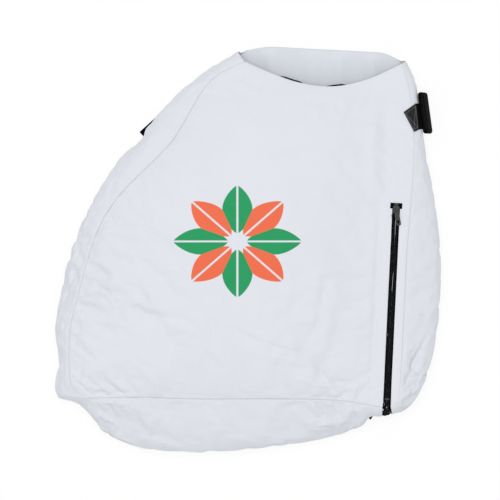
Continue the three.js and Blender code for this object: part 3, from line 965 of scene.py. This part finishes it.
def strap(node_name, name, material, slot, bevel):
    bm = cad_copy(node_name)
    rejoin(bm)
    edges = sharp_edges(bm, STRAP_RIM)
    bmesh.ops.bevel(
        bm, geom=edges, offset=bevel, segments=2, affect="EDGES", profile=0.5, material=-1
    )
    obj = new_object(name, bm)
    print(name, len(obj.data.polygons), "faces")
    return carry(obj, "bag", material, slot, node_name)


# %% Loops, tab and lip tape
LIP_COLOUR, LIP_RIB, LIP_STRENGTH = (14, 14, 15), 1.2 * MM, 0.3
for node_name in ("hang_loop_right", "hang_loop_left", "grab_tab"):
    finish = webbing_finish(node_name.replace("_", " "), BLACK, strap_turn(*strap_axes(node_name)))
    strap(node_name, node_name + "_webbing", finish, "webbing", LOOP_EDGE)
lip_tape = webbing_finish("lip tape", LIP_COLOUR, (0, 0, 0), LIP_RIB, LIP_STRENGTH)
strap("lip_trim", "lip_tape", lip_tape, "black_tape", LIP_EDGE)

# %% [markdown]
# ## The sewn patch
# The right strap ends in a patch that is sewn through the panel with a crossed box. Its webbing
# is painted grey with lighter streaks there: painted sheen of the black webbing where it lies flat
# under the light, with a rough finish. The patch keeps its CAD shape, which was laid over the
# seam. The box
# and the cross are rows of stitches along lines between corners, put on the patch by rays from
# above.

# %% The patch and its crossed stitching
# Painted sheen on the patch: a grey base colour and lighter flecks stand in for the light its flat
# black webbing reflects.
PATCH_SHEEN_LOOK = {"strength": 0.9, "roughness": 0.9, "gloss": 0.2, "flecks": (260, 0.45, 1.0)}
patch_turn = strap_turn(*strap_axes("strap_patch_right"))
patch_finish = webbing_finish("patch webbing", PATCH_SHEEN_GREY, patch_turn, **PATCH_SHEEN_LOOK)
patch = strap("strap_patch_right", "strap_patch", patch_finish, "strap_patch", PATCH_EDGE)
bm = bmesh.new()
bm.from_mesh(patch.data)
patch_tree = BVHTree.FromBMesh(bm)
bm.free()
PATCH_CORNERS = [(403.3, 112.4), (413.5, 132.3), (418.4, 130.0), (416.0, 103.3)]
PATCH_INSET = 0.2
PATCH_PITCH, PATCH_LONG, PATCH_HALF, PATCH_LIFT = 3.2 * MM, 2.4 * MM, 0.6 * MM, 0.2 * MM
PATCH_THREAD, PATCH_THREAD_ROUGH = (128, 126, 130), 0.6
corners = [Vector((*place(*p), 0)) for p in PATCH_CORNERS]
centre = sum(corners, Vector()) / 4
inner = [c.lerp(centre, PATCH_INSET) for c in corners]
box = [(inner[k], inner[(k + 1) % 4]) for k in range(4)]
lines = box + [(inner[0], inner[2]), (inner[1], inner[3])]
bm = bmesh.new()
for a, b in lines:
    for at, way in stepped([a, b], PATCH_PITCH, False):
        hit, normal, _, _ = patch_tree.ray_cast(at + UP, -UP)
        if hit:
            stitch(bm, hit + normal * PATCH_LIFT, way, normal, PATCH_LONG, PATCH_HALF)
cross = new_object("patch_stitches", bm)
patch_thread, _, _ = nodes_of("patch thread", PATCH_THREAD, PATCH_THREAD_ROUGH)
carry(cross, "bag", patch_thread, "strap_patch")
print("patch stitches", len(cross.data.polygons), "faces")

# %% [markdown]
# ## From the patch to the loop
# The strap runs on from the patch, over the side fold, and into the standing loop. This stretch
# follows the gusset, which has its final shape by now. A small grid is laid between the patch's
# outer edge and the nearest places on the loop, and whatever lies too low is lifted off the cloth
# along its normal.

# %% The strap over the fold
STRAP_THICK = 1.8 * MM
STRAP_LIFT = 0.5 * MM + STRAP_THICK
ACROSS, ALONG = 8, 14
STARTS_INSIDE, EVENED = 0.03, 0.5
loop_tree = bvh_of(cad_copy("hang_loop_right"))
gusset_tree = cloth_tree["right_gusset"]
bm = bmesh.new()
bmesh.ops.create_grid(bm, x_segments=ACROSS, y_segments=ALONG, size=0.5)
for v in bm.verts:
    over, down = v.co.x + 0.5, v.co.y + 0.5
    start = corners[3].lerp(corners[2], down)
    start, _, _, _ = patch_tree.ray_cast(start.lerp(centre, STARTS_INSIDE) + UP, -UP)
    end, _, _, _ = loop_tree.find_nearest(start)
    at = start.lerp(end, over)
    spot, normal, _, _ = gusset_tree.find_nearest(at)
    height = (at - spot).dot(normal)
    v.co = at + normal * max(0.0, STRAP_LIFT - height)
bmesh.ops.smooth_vert(
    bm, verts=[v for v in bm.verts if not v.is_boundary], factor=EVENED,
    use_axis_x=True, use_axis_y=True, use_axis_z=True,
)
if sum(f.normal.z for f in bm.faces) < 0:
    bmesh.ops.reverse_faces(bm, faces=bm.faces)
bridge = new_object("strap_over_fold", bm)
thicken(bridge, STRAP_THICK)
bridge_finish = webbing_finish("strap webbing", BLACK, patch_turn)
carry(bridge, "bag", bridge_finish, "webbing")
print("strap over the fold mm", [round(v / MM) for v in bridge.dimensions])

# %% [markdown]
# ## The zip
# The zip is a coil zip: two woven tapes, each with a row of plastic teeth, a metal slider and a
# pull. The tapes keep their CAD shape. The rows get real teeth, because they catch the light one
# by one: one tooth is a low box with bevelled edges. Rays find the row's outer side, first from
# above and then round the fold at the foot, so the teeth follow it all the way down.

# %% Tapes and tooth rows
TOOTH_PITCH = 1.9 * MM
TOOTH = (3.9 * MM, 1.15 * MM, 1.5 * MM)
ROW_ASIDE = 2.6 * MM
TOOTH_SUNK, TOOTH_BEVEL = 0.2, 0.3 * MM
RAYS_DOWN, RAYS_ROUND = 600, 400
ROW_OVER, ROW_BEFORE = 1.02, 20 * MM
ROUND_FROM, ROUND_TURN = 60 * MM, math.radians(150)
FOLD_MIDDLE, RAY_FROM = 0.45, 0.5
TAPE_DARK, TEETH_DARK, ROW_DARK = (12, 14, 18), (14, 15, 18), (8, 9, 11)
TAPE_RIB, TAPE_STRENGTH = 1.1 * MM, 0.3
TEETH_ROUGH, TEETH_GLOSS, ROW_ROUGH, ROW_GLOSS = 0.55, 0.15, 0.8, 0.05
zip_turn = strap_turn(zip_down, UP)
tape_finish = webbing_finish("zip tape", TAPE_DARK, zip_turn, TAPE_RIB, TAPE_STRENGTH)
for side in ("left", "right"):
    strap(f"zip_tape_{side}", f"zip_tape_{side}_woven", tape_finish, "zip_tape", ZIP_EDGE)
teeth_finish, _, shader = nodes_of("zip teeth", TEETH_DARK, TEETH_ROUGH)
shader.inputs["Specular IOR Level"].default_value = TEETH_GLOSS
row_finish, _, shader = nodes_of("zip row", ROW_DARK, ROW_ROUGH)
shader.inputs["Specular IOR Level"].default_value = ROW_GLOSS


def row_path(name, aside):
    tree = bvh_of(cad_copy(name))
    low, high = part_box(name)
    start = hinge_at + zip_across * aside
    length = (high.y - low.y) * ROW_OVER
    inside = start + zip_down * (length - ROUND_FROM)
    inside.z = (low.z + high.z) * FOLD_MIDDLE
    hits = []
    for k in range(RAYS_DOWN):
        at = start + zip_down * (length * k / RAYS_DOWN - ROW_BEFORE)
        if (at - inside).dot(zip_down) < 0:
            hits.append(tree.ray_cast(Vector((at.x, at.y, 1)), -UP))
    for k in range(1, RAYS_ROUND):
        turn = ROUND_TURN * k / RAYS_ROUND
        way = UP * math.cos(turn) + zip_down * math.sin(turn)
        hits.append(tree.ray_cast(inside + way * RAY_FROM, -way))
    return [(h[0], h[1]) for h in hits if h[0]]


def toothed(bm, path):
    past, last, put = 0.0, None, 0
    for at, normal in path:
        if last is not None:
            past += (at - last).length
        if last is not None and past >= TOOTH_PITCH:
            past -= TOOTH_PITCH
            way = (at - last).normalized()
            side = normal.cross(way).normalized()
            turn = Matrix((side, way, normal)).transposed().to_4x4()
            place_it = Matrix.Translation(at - normal * TOOTH[2] * TOOTH_SUNK) @ turn
            bmesh.ops.create_cube(bm, size=1, matrix=place_it @ Matrix.Diagonal((*TOOTH, 1)))
            put += 1
        last = at
    return put


bm = bmesh.new()
put = 0
for name, aside in (("zip_chain_left", -ROW_ASIDE), ("zip_chain_right", ROW_ASIDE)):
    put += toothed(bm, row_path(name, aside))
bmesh.ops.bevel(
    bm, geom=[e for e in bm.edges if abs(e.calc_length() - TOOTH[1]) > SAME_POINT / 2],
    offset=TOOTH_BEVEL, segments=1, affect="EDGES", profile=0.5, material=-1,
)
teeth = new_object("zip_teeth", bm)
carry(teeth, "bag", teeth_finish, "zip_teeth")
print(put, "teeth,", len(teeth.data.polygons), "faces")
for name in ("zip_chain_left", "zip_chain_right"):
    frame["nodes"][name].data.materials.clear()
    frame["nodes"][name].data.materials.append(row_finish)

# %% [markdown]
# ## Slider, pull and stops
# These are small castings. Their CAD form is right, but a casting has no sharp edges, so each is
# a copy with bevelled edges, on the same body as its node: the slider and the pull move by
# themselves.

# %% Castings with rounded edges
CAST_GRAIN, CAST_BUMP = 600.0, (0.12, 0.15 * MM)
CAST_RIM, CAST_FLAT = 50, math.radians(1)
CAST_DARK, CAST_ROUGH, CAST_GLOSS = (22, 23, 26), 0.45, 0.35
metal, tree, shader = nodes_of("dark plated metal", CAST_DARK, CAST_ROUGH)
shader.inputs["Specular IOR Level"].default_value = CAST_GLOSS
places = object_places(tree)
worn = add_node(tree, "TexNoise", Scale=CAST_GRAIN, Detail=3.0)
tree.links.new(places, worn.inputs["Vector"])
bump(tree, shader, worn.outputs["Fac"], *CAST_BUMP)
CASTINGS = {
    "zip_slider": ("slider", 0.35 * MM),
    "zip_pull": ("pull", 0.3 * MM),
    "zip_top_stop_left": ("bag", 0.4 * MM),
    "zip_top_stop_right": ("bag", 0.4 * MM),
    "zip_bottom_stop": ("bag", 0.3 * MM),
}
for name, (body, radius) in CASTINGS.items():
    bm = cad_copy(name)
    bmesh.ops.dissolve_limit(bm, angle_limit=CAST_FLAT, verts=bm.verts, edges=bm.edges)
    edges = sharp_edges(bm, CAST_RIM)
    bmesh.ops.bevel(
        bm, geom=edges, offset=radius, segments=2, affect="EDGES", profile=0.5,
        material=-1, clamp_overlap=True,
    )
    obj = new_object(name + "_cast", bm)
    for polygon in obj.data.polygons:
        polygon.use_smooth = False
    carry(obj, body, metal, "slider_metal", name)
    print(obj.name, len(obj.data.polygons), "faces")

# %% [markdown]
# ## Floor, light and camera
# The picture is a cut-out on white, taken from straight above. The floor is white to the camera
# and to reflections, and keeps a soft shadow. One large lamp, nearly straight above and a little
# toward the neck, models the wrinkles. The world fills the rest, so that a colour renders about
# as it is written.

# %% The floor
FLOOR_SIZE = 16.0
FLOOR_BELOW = 0.2 * MM
SHOWS_WHITE = 0.85


def seen_rays(tree):
    path = add_node(tree, "LightPath")
    both = math_node(tree, "MAXIMUM", path.outputs["Is Camera Ray"], path.outputs["Is Glossy Ray"])
    return math_node(tree, "MAXIMUM", both, path.outputs["Is Transmission Ray"])


bm = bmesh.new()
flat = Matrix.Translation((0, 0, -FLOOR_BELOW))
bmesh.ops.create_grid(bm, x_segments=1, y_segments=1, size=FLOOR_SIZE / 2, matrix=flat)
floor = new_object("floor", bm)
white = bpy.data.materials.new("white floor")
white.use_nodes = True
tree = white.node_tree
tree.nodes.clear()
kinds = ("BsdfDiffuse", "Emission", "MixShader", "OutputMaterial")
paint, glow, blend, out = (add_node(tree, kind) for kind in kinds)
paint.inputs["Color"].default_value = (1, 1, 1, 1)
glow.inputs["Strength"].default_value = 1.0
tree.links.new(math_node(tree, "MULTIPLY", seen_rays(tree), SHOWS_WHITE), blend.inputs[0])
tree.links.new(paint.outputs[0], blend.inputs[1])
tree.links.new(glow.outputs[0], blend.inputs[2])
tree.links.new(blend.outputs[0], out.inputs["Surface"])
floor.data.materials.append(white)

# %% The world and the lamp
WORLD_LIGHT = 0.63
LAMP_POWER, LAMP_SIZE = 150.0, 3.0
LAMP_PLACE = Vector((-0.3, 0.7, 6.0))
world = bpy.data.worlds.new("white room")
scene.world = world
world.use_nodes = True
tree = world.node_tree
light = tree.nodes["Background"]
strength = add_node(tree, "MapRange")
strength.inputs["To Min"].default_value = WORLD_LIGHT
strength.inputs["To Max"].default_value = 1.0
light.inputs["Color"].default_value = (1, 1, 1, 1)
tree.links.new(seen_rays(tree), strength.inputs["Value"])
tree.links.new(strength.outputs[0], light.inputs["Strength"])
lamp = bpy.data.lights.new("window", "AREA")
lamp.shape, lamp.size, lamp.energy = "SQUARE", LAMP_SIZE, LAMP_POWER
lamp_object = bpy.data.objects.new("window", lamp)
lamp_object.location = LAMP_PLACE
lamp_object.rotation_euler = LAMP_PLACE.to_track_quat("Z", "Y").to_euler()
scene.collection.objects.link(lamp_object)

# %% The camera, straight above
AIM = (5.25 * MM, -3.15 * MM)
CAMERA_HEIGHT = 5.883
LENS, SENSOR, SEES_TO = 200, 36, 50
camera = bpy.data.cameras.new("camera")
camera.lens, camera.sensor_width = LENS, SENSOR
camera.clip_end = SEES_TO
eye = bpy.data.objects.new("camera", camera)
eye.location = (*AIM, CAMERA_HEIGHT)
scene.collection.objects.link(eye)
scene.camera = eye
scene.view_settings.view_transform = "Standard"

# %% The end
import json
